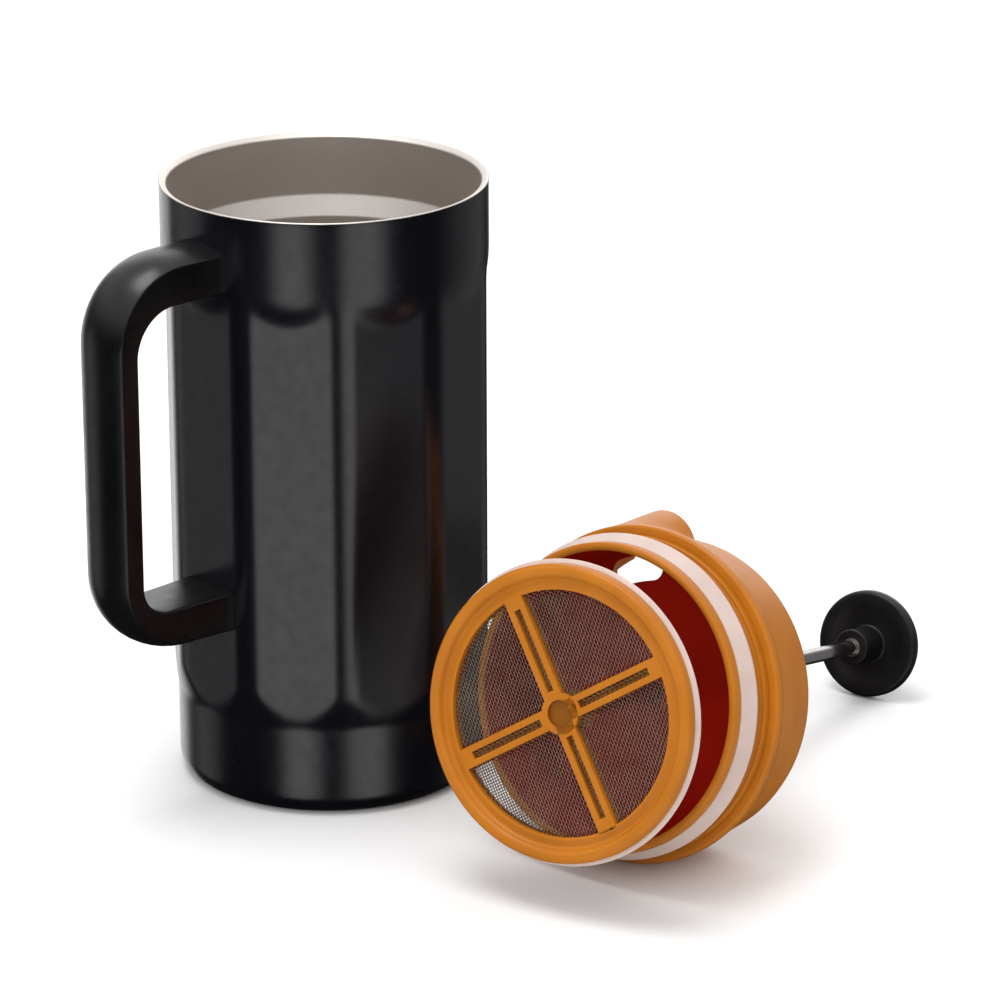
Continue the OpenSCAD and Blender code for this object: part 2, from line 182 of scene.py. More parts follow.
def lying(angles, setback):
    """The matrix that lays a piece drawn about +Z down along its own axis."""
    heading, fall, roll = angles
    turn = Matrix.Rotation(heading, 4, "Z") @ Matrix.Rotation(fall, 4, "Y")
    spin = Matrix.Rotation(roll, 4, "Z")
    return Matrix.Translation(crossing) @ turn @ spin @ Matrix.Translation((0, 0, -setback * MM))


on_lid = lying(lid_angles, plate_level + plate / 2)
on_plunger = lying(plunger_angles, filter_setback)


# ---------- mesh helpers ----------

def mesh_object(name, points, faces):
    """An object from points in millimetres, with sharp edges kept sharp and the rest smooth."""
    mesh = bpy.data.meshes.new(name)
    mesh.from_pydata([Vector(p) * MM for p in points], [], faces)
    made = bpy.data.objects.new(name, mesh)
    bpy.context.scene.collection.objects.link(made)
    tidy(made)
    return made


def tidy(piece):
    """Merges doubled points, turns the faces outwards and sets the shading."""
    work = bmesh.new()
    work.from_mesh(piece.data)
    bmesh.ops.remove_doubles(work, verts=work.verts, dist=1e-7)
    bmesh.ops.dissolve_degenerate(work, edges=work.edges, dist=1e-7)
    bmesh.ops.recalc_face_normals(work, faces=work.faces)
    work.to_mesh(piece.data)
    work.free()
    piece.data.shade_smooth()
    piece.data.set_sharp_from_angle(angle=radians(32))


def rounded(corners, steps=6):
    """A closed outline with its corners, each (x, y, radius), turned into arcs."""
    outline = []
    for i, (x, y, radius) in enumerate(corners):
        here = Vector((x, y))
        back = (Vector(corners[i - 1][:2]) - here).normalized()
        ahead = (Vector(corners[(i + 1) % len(corners)][:2]) - here).normalized()
        half = acos(max(-1, min(1, back.dot(ahead)))) / 2
        if radius == 0 or half > pi / 2 - 0.01:
            outline.append((x, y))
            continue
        middle = here + (back + ahead).normalized() * (radius / sin(half))
        start = here + back * (radius / tan(half)) - middle
        end = here + ahead * (radius / tan(half)) - middle
        sweep = atan2(start.x * end.y - start.y * end.x, start.dot(end))
        for k in range(steps + 1):
            arm = Matrix.Rotation(sweep * k / steps, 2) @ start
            outline.append(tuple(middle + arm))
    return outline


def divided(outline, longest):
    """The closed outline with its long stretches cut into shorter ones."""
    result = []
    for i, (x, y) in enumerate(outline):
        next_x, next_y = outline[(i + 1) % len(outline)]
        parts = max(1, int(hypot(next_x - x, next_y - y) / longest + 0.999))
        for k in range(parts):
            result.append((x + (next_x - x) * k / parts, y + (next_y - y) * k / parts))
    return result


def revolved(name, outline, steps=192, bend=None):
    """A closed outline of (radius, height) turned about Z. bend may change each radius."""
    points = []
    for k in range(steps):
        angle = 2 * pi * k / steps
        for radius, height in outline:
            r = bend(radius, height, angle) if bend and radius > 0 else radius
            points.append((r * cos(angle), r * sin(angle), height))
    faces = []
    count = len(outline)
    for k in range(steps):
        here, there = k * count, (k + 1) % steps * count
        for i in range(count):
            j = (i + 1) % count
            if outline[i][0] == 0 and outline[j][0] == 0:
                continue
            faces.append((here + i, there + i, there + j, here + j))
    return mesh_object(name, points, faces)


def swept(name, rings, closed_ends=True):
    """A tube through rings that all have the same number of points."""
    count = len(rings[0])
    faces = []
    for k in range(len(rings) - 1):
        for i in range(count):
            j = (i + 1) % count
            faces.append((k * count + i, k * count + j, (k + 1) * count + j, (k + 1) * count + i))
    if closed_ends:
        faces.append(tuple(range(count)))
        faces.append(tuple((len(rings) - 1) * count + i for i in range(count)))
    return mesh_object(name, [p for ring in rings for p in ring], faces)


def prism(name, outline, low, high):
    """A flat outline of (x, y) made solid between two heights."""
    return swept(name, [[(x, y, z) for x, y in outline] for z in (low, high)])


def disc_outline(radius, steps=64):
    """A circle as a list of (x, y)."""
    return [(radius * cos(2 * pi * k / steps), radius * sin(2 * pi * k / steps))
            for k in range(steps)]


def turned(outline, angle):
    """The outline turned about the origin."""
    return [(x * cos(angle) - y * sin(angle), x * sin(angle) + y * cos(angle)) for x, y in outline]


def bake(piece):
    """Turns the piece's modifiers into plain mesh."""
    graph = bpy.context.evaluated_depsgraph_get()
    made = bpy.data.meshes.new_from_object(piece.evaluated_get(graph))
    piece.modifiers.clear()
    piece.data = made


def combine(piece, others, operation):
    """Adds the other solids to the piece, or takes them out of it, and removes them."""
    for other in others:
        modifier = piece.modifiers.new("solid", "BOOLEAN")
        modifier.operation = operation
        modifier.solver = "EXACT"
        modifier.object = other
    bake(piece)
    for other in others:
        bpy.data.objects.remove(other)
    tidy(piece)


def soften(piece, width, degrees=30):
    """Rounds the piece's sharp edges by a small width in millimetres."""
    bevel = piece.modifiers.new("soften", "BEVEL")
    bevel.width = width * MM
    bevel.segments = 3
    bevel.limit_method = "ANGLE"
    bevel.angle_limit = radians(degrees)
    bevel.use_clamp_overlap = True
    bevel.harden_normals = False
    bake(piece)
    piece.data.shade_smooth()
    piece.data.set_sharp_from_angle(angle=radians(40))


def soft_least(a, b, reach):
    """The smaller of two values, with the crease between them rounded."""
    near = max(reach - abs(a - b), 0) / reach
    return min(a, b) - near * near * reach / 4


def soft_most(a, b, reach):
    """The larger of two values, with the crease between them rounded."""
    return -soft_least(-a, -b, reach)


# ---------- materials ----------

class Surface:
    """A Principled material with colour, roughness and relief from noise in the object's space."""

    def __init__(self, name, roughness, metallic=0.0, **sockets):
        self.material = bpy.data.materials.new(name)
        self.material.use_nodes = True
        self.nodes = self.material.node_tree.nodes
        self.links = self.material.node_tree.links
        self.shader = self.nodes["Principled BSDF"]
        self.shader.inputs["Roughness"].default_value = roughness
        self.shader.inputs["Metallic"].default_value = metallic
        for socket, value in sockets.items():
            self.shader.inputs[socket.replace("_", " ")].default_value = value
        self.place = self.nodes.new("ShaderNodeTexCoord")

    def noise(self, size, detail=3.0, stretch=(1, 1, 1)):
        """Noise whose features are about size millimetres across, drawn out by stretch."""
        mapping = self.nodes.new("ShaderNodeMapping")
        mapping.inputs["Scale"].default_value = [1 / s for s in stretch]
        self.links.new(self.place.outputs["Object"], mapping.inputs["Vector"])
        texture = self.nodes.new("ShaderNodeTexNoise")
        texture.inputs["Scale"].default_value = 1 / (size * MM)
        texture.inputs["Detail"].default_value = detail
        self.links.new(mapping.outputs["Vector"], texture.inputs["Vector"])
        return texture.outputs["Fac"]

    def colours(self, factor, stops):
        """Base colour from a factor, through stops of (place, colour)."""
        ramp = self.nodes.new("ShaderNodeValToRGB")
        while len(ramp.color_ramp.elements) < len(stops):
            ramp.color_ramp.elements.new(0.5)
        for element, (place, colour) in zip(ramp.color_ramp.elements, stops):
            element.position = place
            element.color = (*colour, 1)
        self.links.new(factor, ramp.inputs["Fac"])
        self.links.new(ramp.outputs["Color"], self.shader.inputs["Base Color"])
        return self

    def roughness(self, factor, low, high):
        """Roughness between two values."""
        spread = self.nodes.new("ShaderNodeMapRange")
        spread.inputs["From Min"].default_value = 0.3
        spread.inputs["From Max"].default_value = 0.7
        spread.inputs["To Min"].default_value = low
        spread.inputs["To Max"].default_value = high
        self.links.new(factor, spread.inputs["Value"])
        self.links.new(spread.outputs["Result"], self.shader.inputs["Roughness"])
        return self

    def relief(self, factor, depth, strength=0.5):
        """Bumps of a depth in millimetres."""
        bump = self.nodes.new("ShaderNodeBump")
        bump.inputs["Strength"].default_value = strength
        bump.inputs["Distance"].default_value = depth * MM
        self.links.new(factor, bump.inputs["Height"])
        self.links.new(bump.outputs["Normal"], self.shader.inputs["Normal"])
        return self


def black_coat():
    """Satin powder coat: near black, with a fine even grain."""
    made = Surface("black_coat", 0.26, Specular_IOR_Level=0.5)
    made.colours(made.noise(30), [(0.3, (0.002, 0.002, 0.004)), (0.7, (0.003, 0.003, 0.006))])
    made.roughness(made.noise(4), 0.23, 0.28)
    return made.relief(made.noise(0.7, 4), 0.05, 0.25).material


def black_plastic(name, low, high, grain):
    """Moulded black plastic with a spark-eroded grain."""
    made = Surface(name, 0.35, Specular_IOR_Level=0.42)
    made.colours(made.noise(20), [(0.3, (0.002, 0.002, 0.003)), (0.7, (0.004, 0.004, 0.005))])
    made.roughness(made.noise(5), low, high)
    return made.relief(made.noise(0.4, 2), grain, 0.3).material


def liner_steel():
    """Warm satin stainless steel with a fine blasted grain and faint spinning lines."""
    made = Surface("liner_steel", 0.35, 1.0)
    made.colours(made.noise(0.6, 4), [(0.3, (0.64, 0.59, 0.55)), (0.7, (0.70, 0.65, 0.61))])
    made.roughness(made.noise(0.5, 4, (8, 8, 1)), 0.42, 0.50)
    return made.relief(made.noise(0.4, 4), 0.03, 0.25).material


def hidden_steel():
    """Brushed steel of the small inner parts."""
    made = Surface("hidden_steel", 0.35, 1.0)
    made.colours(made.noise(3, 4), [(0.3, (0.42, 0.40, 0.38)), (0.7, (0.58, 0.56, 0.54))])
    made.roughness(made.noise(0.6, 3, (10, 1, 1)), 0.25, 0.45)
    return made.relief(made.noise(0.5, 3, (12, 1, 1)), 0.04, 0.3).material


def rod_steel():
    """Polished steel with faint drawing marks."""
    made = Surface("rod_steel", 0.12, 1.0)
    made.colours(made.noise(8), [(0.3, (0.38, 0.36, 0.36)), (0.7, (0.46, 0.44, 0.44))])
    made.roughness(made.noise(2, 3, (6, 1, 1)), 0.09, 0.16)
    return made.relief(made.noise(0.6, 2, (20, 1, 1)), 0.01, 0.2).material


def mesh_steel():
    """Fine stainless wire, a little brown with age."""
    made = Surface("mesh_steel", 0.38, 1.0)
    made.colours(made.noise(9, 3), [(0.3, (0.22, 0.17, 0.135)), (0.7, (0.31, 0.25, 0.20))])
    made.roughness(made.noise(3), 0.32, 0.45)
    return made.relief(made.noise(0.3, 2), 0.01, 0.3).material


def orange_plastic(name, bright):
    """Satin orange plastic, slightly translucent, with soft swirls from moulding. A bright below 1
    gives a darker copy, used as painted shade.
    """
    made = Surface(name, 0.4, Specular_IOR_Level=0.28,
                   Subsurface_Weight=0.1, Subsurface_Scale=0.002)
    made.shader.inputs["Subsurface Radius"].default_value = (1.0, 0.35, 0.1)
    dark = [c * bright for c in (0.44, 0.142, 0.007)]
    light = [c * bright for c in (0.50, 0.166, 0.010)]
    made.colours(made.noise(18, 2), [(0.3, dark), (0.7, light)])
    made.roughness(made.noise(6), 0.34, 0.42)
    return made.relief(made.noise(0.5, 3), 0.03, 0.2).material


def deep_plastic():
    """The same plastic inside the lid, with painted shade: a dark red that stands in for the shade of
    the hollow and for the red light coming through the plastic.
    """
    made = Surface("deep_plastic", 0.5, Specular_IOR_Level=0.06)
    made.colours(made.noise(18, 2), [(0.3, (0.30, 0.006, 0.0008)), (0.7, (0.36, 0.009, 0.001))])
    made.roughness(made.noise(6), 0.45, 0.55)
    return made.relief(made.noise(0.5, 3), 0.03, 0.2).material


def silicone():
    """Soft pale pink silicone with a dusty bloom."""
    made = Surface("silicone", 0.5, Specular_IOR_Level=0.4,
                   Subsurface_Weight=0.35, Subsurface_Scale=0.003)
    made.shader.inputs["Subsurface Radius"].default_value = (1.0, 0.7, 0.6)
    made.colours(made.noise(12, 3), [(0.3, (0.58, 0.45, 0.40)), (0.7, (0.64, 0.51, 0.46))])
    made.roughness(made.noise(3), 0.45, 0.6)
    return made.relief(made.noise(0.4, 3), 0.02, 0.2).material


# ---------- pot ----------

def body_radius(angle):
    """The ten-sided section: flats with a round ridge at each corner."""
    side = 2 * pi / flats
    off = abs((angle + side / 2) % side - side / 2)
    ridge_centre = (apothem - ridge_radius) / cos(side / 2)
    if ridge_centre * sin(side / 2) > apothem * tan(off):
        return apothem / cos(off)
    turn = side / 2 - off
    return ridge_centre * cos(turn) + sqrt(ridge_radius ** 2 - (ridge_centre * sin(turn)) ** 2)


def collar_radius(height):
    """The round collar, and the arc by which it runs out on the flats."""
    drop = max(scallop_top - height, 0)
    run_in = collar_r - apothem + 0.1
    bend = ((scallop_top - scallop_low) ** 2 + run_in ** 2) / (2 * run_in)
    if drop >= bend:
        return 0
    return collar_r - bend + sqrt(bend ** 2 - drop ** 2)


def foot_radius(height):
    """The envelope that narrows the ridges to the plain foot."""
    share = min(max((height - foot_top) / (taper_top - foot_top), 0), 1)
    return foot_r + (collar_r - foot_r) * share


def shell_bend(radius, height, angle):
    """Moves a point of the round envelope in to the flats, and never past the collar."""
    inset = foot_radius(height) - radius
    panel = soft_most(body_radius(angle), collar_radius(height), 0.9)
    return min(soft_least(foot_radius(height), panel, 0.7) - inset, collar_r - 0.01)


def make_outer_shell():
    """The black coated shell."""
    top = pot_height - rim_height
    corners = [(base_hole_r, 0, 0), (foot_r, 0, foot_rounding), (foot_r, foot_top, 0),
               (collar_r, taper_top, 0), (collar_r, top, 0.3), (collar_r - sheet, top, 0)]
    corners += [(foot_radius(z) - sheet, z, 0) for z in (scallop_top, taper_top, foot_top)]
    corners += [(foot_r - sheet, sheet, foot_rounding - sheet), (base_hole_r, sheet, 0)]
    return revolved("outer_shell_look", divided(rounded(corners, 8), 1.6), 360, shell_bend)


def make_inner_liner():
    """The steel liner with its sloping lip, mouth, shoulder and chamber."""
    mouth_floor = pot_height - mouth_depth
    shoulder_low = mouth_floor - shoulder_drop
    lip_r = collar_r - sheet - play
    corners = [(0, chamber_floor, 0), (chamber_r, chamber_floor, chamber_corner),
               (chamber_r, shoulder_low, 1.5), (mouth_r, mouth_floor, 2.2),
               (mouth_r, pot_height - rim_fall, 0.9), (collar_r - 0.1, pot_height, 0.45),
               (collar_r, pot_height - rim_height, 0.1), (lip_r, pot_height - rim_height, 0),
               (lip_r, pot_height - lip_depth, 0), (mouth_r + sheet, pot_height - lip_depth, 0),
               (mouth_r + sheet, mouth_floor, 2), (chamber_r + sheet, shoulder_low, 1.5),
               (chamber_r + sheet, chamber_floor - sheet, chamber_corner + sheet),
               (0, chamber_floor - sheet, 0)]
    return revolved("inner_liner_look", divided(rounded(corners, 8), 8), 240)


# ---------- handle ----------

def handle_section(inner, outer, flare):
    """One ring round the handle between its finger side and its outer side, in the X-Z plane."""
    depth = hypot(outer[0] - inner[0], outer[1] - inner[1])
    half = grip_width / 2
    crown_r = (half ** 2 + grip_crown ** 2) / (2 * grip_crown)
    lean = asin(half / crown_r)
    centre = depth + grip_crown - crown_r
    crown = [(crown_r * sin(lean * t / 10), centre + crown_r * cos(lean * t / 10), 0)
             for t in range(9, -10, -1)]
    corners = [(-half, 0, edge_inside), (half, 0, edge_inside), (half, depth, edge_outside)]
    corners += crown + [(-half, depth, edge_outside)]
    along = ((outer[0] - inner[0]) / depth, (outer[1] - inner[1]) / depth)
    return [(-(inner[0] + along[0] * y), x * (1 + flare / half), inner[1] + along[1] * y)
            for x, y in rounded(corners, 6)]


def corner_stations(outer_centre, inner_centre, inner_radius, start, end, steps):
    """Pairs of inner and outer points round one corner of the handle."""
    result = []
    for k in range(steps + 1):
        angle = radians(start + (end - start) * k / steps)
        inner = (inner_centre[0] + inner_radius * cos(angle),
                 inner_centre[1] + inner_radius * sin(angle))
        outer = (outer_centre[0] + outer_corner * cos(angle),
                 outer_centre[1] + outer_corner * sin(angle))
        result.append((inner, outer))
    return result


def arm_stations(root, corner, shares):
    """Points along one arm, from the pot at 0 to the corner at 1, and how far it flares there."""
    result = []
    for share in shares:
        inner = (root + (corner[0][0] - root) * share, corner[0][1])
        outer = (root + (corner[1][0] - root) * share, corner[1][1])
        result.append((inner, outer, arm_flare * (1 - share) ** 2))
    return result


def make_handle():
    """The moulded handle: two arms, two rounded corners and the grip."""
    # the arms end inside the pot's wall
    root = (apothem + mouth_r) / 2
    top = ((grip_out - outer_corner, handle_top - outer_corner),
           (grip_in - inner_corner_top, gap_top - inner_corner_top))
    low = ((grip_out - outer_corner, handle_low + outer_corner),
           (grip_in - inner_corner_low, gap_low + inner_corner_low))
    upper = corner_stations(*top, inner_corner_top, 90, 0, 14)
    lower = corner_stations(*low, inner_corner_low, 0, -90, 14)
    upper_arm = arm_stations(root, upper[0], (0, 0.2, 0.4, 0.6, 0.8))
    lower_arm = arm_stations(root, lower[-1], (0.8, 0.6, 0.4, 0.2, 0))
    stations = upper_arm + [(*pair, 0) for pair in upper + lower] + lower_arm
    made = swept("handle_look", [handle_section(*s) for s in stations])
    outline = [(x + screw_x, y) for x, y in disc_outline(screw_hole_r, 48)]
    holes = [prism("hole", outline, under - grip_crown * 2, under + screw_hole_depth)
             for under in (gap_top, handle_low)]
    combine(made, holes, "DIFFERENCE")
    return made


# ---------- lid ----------

def spout_reach(height, angle, radius):
    """How far out the leaning spout reaches at a height and an angle, or 0 beside it."""
    lean = (spout_tip_r - spout_foot_r) / (lid_height - skirt_length)
    centre = spout_foot_r - spout_r + (height - skirt_length) * lean
    across = centre * sin(angle)
    if cos(angle) <= 0 or abs(across) >= radius:
        return 0
    return centre * cos(angle) + sqrt(radius ** 2 - across ** 2)


def lid_bend(radius, height, angle):
    """Swells the lid's wall, outside and in the basin, into the spout."""
    blend = 3
    basin_floor_r = pour_out_r - 2
    if height > skirt_length + flange_band and radius > lid_wall_radius(height) - wall / 2:
        share = (height - skirt_length - flange_band) / blend
        pipe = spout_r
    elif height > basin_low - 0.01 and radius > basin_floor_r:
        share = (radius - basin_floor_r) / 2.5
        pipe = spout_r - wall
    else:
        return radius
    swollen = soft_most(radius, spout_reach(height, angle, pipe), blend)
    return radius + (swollen - radius) * min(share, 1)


def lid_wall_radius(height):
    """The outside of the lid's wall above its flange."""
    share = (height - neck_level) / (bevel_low - neck_level)
    return neck_r + (bevel_r - neck_r) * share


def pour_slot():
    """The outline of the curved slot under the spout."""
    half_width = (pour_out_r - pour_in_r) / 2
    middle = (pour_out_r + pour_in_r) / 2
    reach = pour_half_angle - asin(half_width / middle)
    outline = []
    for side, start in ((1, 0), (-1, pi)):
        centre = Vector((middle * cos(side * reach), middle * sin(side * reach)))
        for k in range(17):
            turn = side * reach + start + pi * k / 16
            outline.append(tuple(centre + half_width * Vector((cos(turn), sin(turn)))))
        arc_r = pour_in_r if side == 1 else pour_out_r
        for k in range(1, 12):
            turn = side * reach * (1 - k / 6)
            outline.append((arc_r * cos(turn), arc_r * sin(turn)))
    return outline


def make_lid_shell():
    """The lid's shell: flange, leaning wall, spout, basin and plate."""
    basin_r = lid_top_r - wall
    corners = [(guide_r, guide_low, 0.4), (guide_out_r, guide_low, 0.5),
               (guide_out_r, plate_level, 0.6), (socket_r, plate_level, 1),
               (socket_r, skirt_length, 0.3), (flange_r, skirt_length, 1.1),
               (flange_r, skirt_length + flange_band, 0.9), (neck_r, neck_level, 4),
               (bevel_r, bevel_low, 3), (lid_top_r, lid_height, 0.8), (basin_r, lid_height, 0.8),
               (basin_r + basin_draft, basin_low, 2.5), (guide_out_r, basin_low, 0.8),
               (guide_out_r, guide_high, 0.6), (guide_r, guide_high, 0.4)]
    made = revolved("lid_shell_look", divided(rounded(corners, 6), 2.2), 300, lid_bend)
    combine(made, [prism("slot", pour_slot(), plate_level - 3, basin_low + 1.5)], "DIFFERENCE")
    return made


def make_lid_skirt():
    """The ring below the flange, with a fat rounded edge and the groove of the seal."""
    inner = socket_r - play
    top = plate_level - play
    step_high = skirt_length - play
    corners = [(skirt_in_r, 0, 1.3), (skirt_out_r, 0, 1.3), (skirt_out_r, groove_low, 0.5),
               (groove_r, groove_low, 0.2), (groove_r, groove_high, 0.2),
               (skirt_out_r, groove_high, 0.5), (skirt_out_r, step_low, 0.8),
               (step_r, step_low, 0.4), (step_r, step_high, 0.2), (inner, step_high, 0.2),
               (inner, top, 0.3), (skirt_in_r, top, 0.3)]
    return revolved("lid_skirt_look", divided(rounded(corners, 6), 6), 240)


def make_lid_seal():
    """The wide silicone ring with its leaning lip."""
    root = groove_r + play
    low = groove_low + play
    high = groove_high - play
    corners = [(root, low, 0.2), (skirt_out_r, low, 0.4), (lid_seal_r, 8.6, 1.1),
               (lid_seal_r - 0.3, 9.5, 0.3), (skirt_out_r, high, 0.4), (root, high, 0.2)]
    return revolved("lid_seal_look", divided(rounded(corners, 6), 4), 240)


# ---------- plunger ----------

def make_rod():
    """The rod, with its ends chamfered."""
    low = mesh_back + play
    high = knob_front - 1
    corners = [(0, low, 0), (rod_r, low, 0.4), (rod_r, high, 0.4), (0, high, 0)]
    return revolved("plunger_rod_look", divided(rounded(corners, 4), 12), 64)


def make_knob():
    """The palm disc, dished round its boss."""
    dish = [(boss_r + (dish_r - boss_r) * t / 8, knob_front + dish_depth * (1 - (t / 8) ** 2))
            for t in range(9)]
    boss_end = knob_front - boss_length
    bore_floor = knob_front - 0.2
    corners = [(boss_bore_r, boss_end, 0.25), (boss_bore_r, bore_floor, 0), (0, bore_floor, 0),
               (0, plunger_length, 0), (knob_r, plunger_length, 1.2), (knob_r, knob_front, 1.5)]
    corners += [(r, z, 0.8 if r == boss_r else 0) for r, z in reversed(dish)]
    corners += [(boss_r, boss_end, 0.5)]
    return revolved("knob_look", divided(rounded(corners, 6), 4), 160)


def spoke_outline(length, width, start=0.0):
    """A straight bar along X."""
    half = width / 2
    return [(start, -half), (length, -half), (length, half), (start, half)]


def quarter_turns(outline):
    """The outline at each of the four spokes."""
    return [turned(outline, pi / 2 * k) for k in range(4)]


def make_filter_frame():
    """The front half of the filter: rim, four slotted spokes and hub."""
    corners = [(mesh_r, spoke_front, 0), (mesh_r + 0.8, spoke_front, 0.8),
               (rim_in_r - 0.2, cove_depth, 1.2), (rim_in_r + 1, 0, 1.6), (filter_r, 0, 1.7),
               (filter_r, frame_back, 0.2), (mesh_r, frame_back, 0.1)]
    made = revolved("filter_frame_look", divided(rounded(corners, 6), 4), 240)
    spokes = [prism("spoke", o, spoke_front, frame_back - 0.01)
              for o in quarter_turns(spoke_outline(spoke_length, spoke_width))]
    hub = prism("hub", disc_outline(hub_r), spoke_front, frame_back - 0.02)
    combine(made, spokes + [hub], "UNION")
    slots = [prism("slot", o, -1, frame_back + 1)
             for o in quarter_turns(spoke_outline(slot_end, slot_width, slot_start))]
    recess = prism("recess", disc_outline(hub_recess_r), -1, frame_back - hub_floor)
    combine(made, slots + [recess], "DIFFERENCE")
    soften(made, 0.32)
    # painted shade: the faces down in the hub's recess get the darker copy of the orange
    for face in made.data.polygons:
        centre = face.center / MM
        inside = hypot(centre.x, centre.y) < hub_recess_r + 0.05
        face.material_index = int(inside and centre.z > spoke_front + 0.35)
    return made


def make_filter_back():
    """The back half of the filter: ring, spokes and the socket of the rod."""
    sheet_back = mesh_back + back_sheet
    corners = [(mesh_r, mesh_back, 0.2), (back_ring_r, mesh_back, 0.2),
               (back_ring_r, filter_depth, 0.6), (back_ring_r - 2, filter_depth, 0.6),
               (back_ring_r - 2, sheet_back, 0.6), (mesh_r, sheet_back, 0.5)]
    made = revolved("filter_back_look", divided(rounded(corners, 4), 4), 240)
    spokes = [prism("spoke", o, mesh_back + 0.01, sheet_back)
              for o in quarter_turns(spoke_outline(spoke_length, spoke_width))]
    hub = prism("hub", disc_outline(hub_r), mesh_back + 0.02, mesh_back + socket_length)
    combine(made, spokes + [hub], "UNION")
    bore = prism("bore", disc_outline(rod_r + play), mesh_back - 1, mesh_back + 12)
    combine(made, [bore], "DIFFERENCE")
    soften(made, 0.3)
    return made


def make_filter_seal():
    """The silicone wiper behind the frame."""
    front = frame_back + play
    corners = [(wiper_root_r, front, 0), (filter_r, front, 0.2), (wiper_r, frame_back + 0.9, 0.4),
               (wiper_r, frame_back + 1.6, 0.4), (filter_r - 0.6, frame_back + 2.3, 0.3),
               (wiper_root_r, frame_back + 2.4, 0)]
    return revolved("filter_seal_look", divided(rounded(corners, 5), 4), 240)


def wire_points(reach, offset, row):
    """The crossings of one wire, over one neighbour and under the next."""
    half = int(sqrt(max(reach ** 2 - offset ** 2, 0)) / weave_pitch)
    lift = wire_r * 0.8
    return [(k * weave_pitch, lift if (k + row) % 2 else -lift) for k in range(-half, half + 1)]


def make_filter_mesh():
    """Plain woven wire cloth, each wire its own tube."""
    reach = rim_in_r - 0.5
    middle = (frame_back + mesh_back) / 2
    rows = int(reach / weave_pitch)
    sides = disc_outline(wire_r, wire_sides)
    points = []
    faces = []
    for direction in (0, 1):
        for row in range(-rows, rows + 1):
            crossings = wire_points(reach, row * weave_pitch, row + direction)
            start = len(points)
            end = start + wire_sides * (len(crossings) - 1)
            for along, lift in crossings:
                for side, up in sides:
                    across = row * weave_pitch + side
                    x, y = (along, across) if direction == 0 else (across, along)
                    points.append((x, y, middle + lift + up))
            for first in range(start, end, wire_sides):
                for s in range(wire_sides):
                    a = first + s
                    b = first + (s + 1) % wire_sides
                    faces.append((a, b, b + wire_sides, a + wire_sides))
            faces.append(tuple(range(start, start + wire_sides)))
            faces.append(tuple(range(end, end + wire_sides)))
    return mesh_object("filter_mesh_look", points, faces)


# ---------- putting it together ----------

def paint_hollow_shade(piece, reach, low, high):
    """Gives the second material, the dark red with painted shade, to the faces that look inwards or
    down into the lid's hollow.
    """
    for face in piece.data.polygons:
        centre = face.center / MM
        across = hypot(centre.x, centre.y)
        outward = face.normal.x * centre.x + face.normal.y * centre.y
        inside = outward < -0.5 * across or face.normal.z < -0.7
        if inside and across < reach and low < centre.z < high:
            face.material_index = 1


def stand_in(piece, materials, body, node, place=None):
    """Puts a piece in its place, with its materials and its body, and hides the CAD node it stands
    for.
    """
    if place is not None:
        piece.data.transform(place)
    for material in materials:
        piece.data.materials.append(material)
    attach(piece, body)
    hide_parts(node)


knob_black = black_plastic("knob_plastic", 0.42, 0.5, 0.05)
grip_black = black_plastic("grip_plastic", 0.26, 0.34, 0.04)
orange = orange_plastic("orange_plastic", 1.0)
# a darker copy of the orange, with painted shade for the filter hub's recess
shaded_orange = orange_plastic("shaded_orange", 0.55)
# the dark red with painted shade for the lid's hollow
hollow_shade = deep_plastic()
pale = silicone()
shell = make_lid_shell()
skirt = make_lid_skirt()
# painted shade: the inward and downward faces in the lid's hollow get the dark red
paint_hollow_shade(shell, skirt_out_r, plate_level - 2.5, plate_level + 0.5)
paint_hollow_shade(skirt, skirt_in_r + 0.2, 1, plate_level)

stand_in(make_outer_shell(), [black_coat()], "pot", "outer_shell")
stand_in(make_inner_liner(), [liner_steel()], "pot", "inner_liner")
stand_in(make_handle(), [grip_black], "pot", "handle_grip")
stand_in(shell, [orange, hollow_shade], "lid", "lid_shell", on_lid)
stand_in(skirt, [orange, hollow_shade], "lid", "lid_skirt", on_lid)
stand_in(make_lid_seal(), [pale], "lid", "lid_seal", on_lid)
stand_in(make_rod(), [rod_steel()], "plunger", "plunger_rod", on_plunger)
stand_in(make_knob(), [knob_black], "plunger", "knob", on_plunger)
stand_in(make_filter_frame(), [orange, shaded_orange], "plunger",
         "filter_frame", on_plunger)
stand_in(make_filter_back(), [orange], "plunger", "filter_back", on_plunger)
stand_in(make_filter_mesh(), [mesh_steel()], "plunger", "filter_mesh", on_plunger)
stand_in(make_filter_seal(), [pale], "plunger", "filter_seal", on_plunger)

# the small parts that keep their CAD shape
small_steel = hidden_steel()
for node in ("base_pan", "vacuum_seal", "bracket_upper", "bracket_lower",
             "screw_upper", "screw_lower", "knob_insert", "hub_nut"):
    frame["nodes"][node].data.materials.clear()
    frame["nodes"][node].data.materials.append(small_steel)


# ---------- studio ----------

def make_floor():
    """A wide pale floor."""
    half = 6.0
    mesh = bpy.data.meshes.new("floor")
    corners = [(-half, -half, 0), (half, -half, 0), (half, half, 0), (-half, half, 0)]
    mesh.from_pydata(corners, [], [(0, 1, 2, 3)])
    floor = bpy.data.objects.new("floor", mesh)
    bpy.context.scene.collection.objects.link(floor)
    material = bpy.data.materials.new("floor")
    material.use_nodes = True
    shader = material.node_tree.nodes["Principled BSDF"]
    shader.inputs["Base Color"].default_value = (0.9, 0.9, 0.9, 1)
    shader.inputs["Roughness"].default_value = 0.9
    shader.inputs["Specular IOR Level"].default_value = 0.1
    mesh.materials.append(material)
    floor.visible_glossy = False


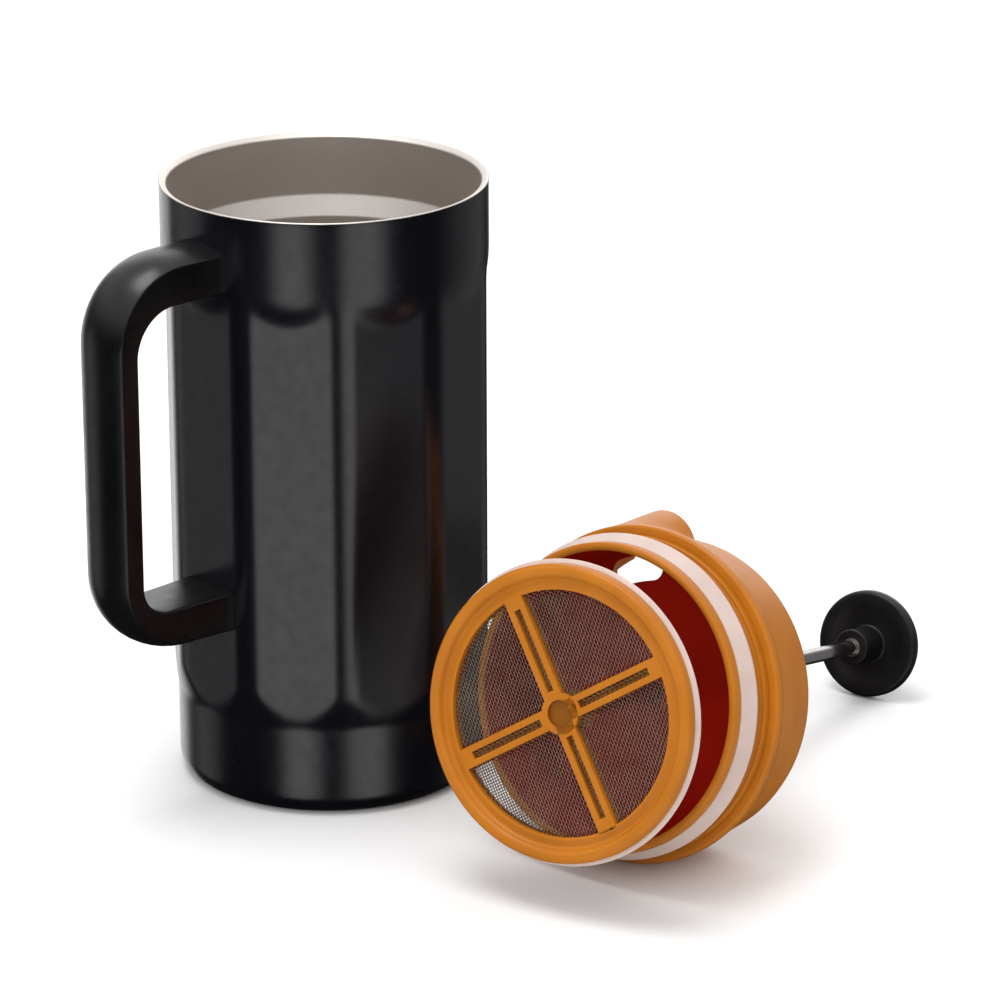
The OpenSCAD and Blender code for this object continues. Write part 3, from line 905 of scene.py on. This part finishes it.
def soft_box(name, place, target, size, power, shines):
    """A square soft light that faces a point, and may be left out of reflections."""
    light = bpy.data.lights.new(name, "AREA")
    light.shape = "RECTANGLE"
    light.size, light.size_y = size
    light.energy = power
    box = bpy.data.objects.new(name, light)
    bpy.context.scene.collection.objects.link(box)
    box.location = place
    box.rotation_mode = "QUATERNION"
    box.rotation_quaternion = (Vector(target) - Vector(place)).to_track_quat("-Z", "Y")
    box.visible_glossy = shines


def make_camera():
    """The camera, rolled by a sixth of a degree."""
    forward = Vector((0.64192, 0.68819, -0.33812)).normalized()
    lens = bpy.data.cameras.new("camera")
    lens.lens = 187.15
    lens.sensor_width = 36
    lens.clip_end = 50
    camera = bpy.data.objects.new("camera", lens)
    bpy.context.scene.collection.objects.link(camera)
    camera.location = (-1.04119, -1.19775, 0.65981)
    camera.rotation_mode = "QUATERNION"
    roll = Matrix.Rotation(-0.00291, 4, "Z")
    level = forward.to_track_quat("-Z", "Y").to_matrix().to_4x4()
    camera.rotation_quaternion = (level @ roll).to_quaternion()
    bpy.context.scene.camera = camera


def make_world():
    """A dim studio with a few broad glowing cards, each (azimuth, elevation, half width, strength)."""
    cards = [(206, -20, 13, 2.1), (256, -20, 15, 1.85), (120, -15, 15, 0.5), (72, -15, 17, 1.4),
             (350, -15, 24, 0.22), (42, 16, 28, 1.3)]
    world = bpy.data.worlds.new("studio")
    world.use_nodes = True
    nodes, links = world.node_tree.nodes, world.node_tree.links
    background = nodes["Background"]
    background.inputs["Color"].default_value = (1, 1, 1, 1)
    place = nodes.new("ShaderNodeTexCoord")
    above = nodes.new("ShaderNodeVectorMath")
    above.operation = "DOT_PRODUCT"
    above.inputs[1].default_value = (0, 0, 1)
    links.new(place.outputs["Generated"], above.inputs[0])
    sky = nodes.new("ShaderNodeMapRange")
    sky.interpolation_type = "SMOOTHSTEP"
    sky.inputs["From Min"].default_value = 0.0
    sky.inputs["From Max"].default_value = 0.6
    sky.inputs["To Min"].default_value = 0.02
    sky.inputs["To Max"].default_value = 0.95
    links.new(above.outputs["Value"], sky.inputs["Value"])
    total = sky.outputs["Result"]
    for azimuth, elevation, half, strength in cards:
        turn, tilt = radians(azimuth), radians(elevation)
        facing = nodes.new("ShaderNodeVectorMath")
        facing.operation = "DOT_PRODUCT"
        facing.inputs[1].default_value = (cos(turn) * cos(tilt), sin(turn) * cos(tilt), sin(tilt))
        links.new(place.outputs["Generated"], facing.inputs[0])
        glow = nodes.new("ShaderNodeMapRange")
        glow.interpolation_type = "SMOOTHSTEP"
        glow.inputs["From Min"].default_value = cos(radians(half * 1.3))
        glow.inputs["From Max"].default_value = cos(radians(half * 0.6))
        glow.inputs["To Max"].default_value = strength
        links.new(facing.outputs["Value"], glow.inputs["Value"])
        add = nodes.new("ShaderNodeMath")
        links.new(total, add.inputs[0])
        links.new(glow.outputs["Result"], add.inputs[1])
        total = add.outputs["Value"]
    links.new(total, background.inputs["Strength"])
    bpy.context.scene.world = world


make_floor()
make_camera()
make_world()
centre = (0.04, -0.05, 0.08)
soft_box("key", (-0.3, 0.05, 1.9), centre, (0.9, 0.9), 16, True)
soft_box("fill", (-1.6, -1.0, 0.9), centre, (1.2, 1.2), 12, False)
bpy.context.scene.view_settings.view_transform = "Standard"
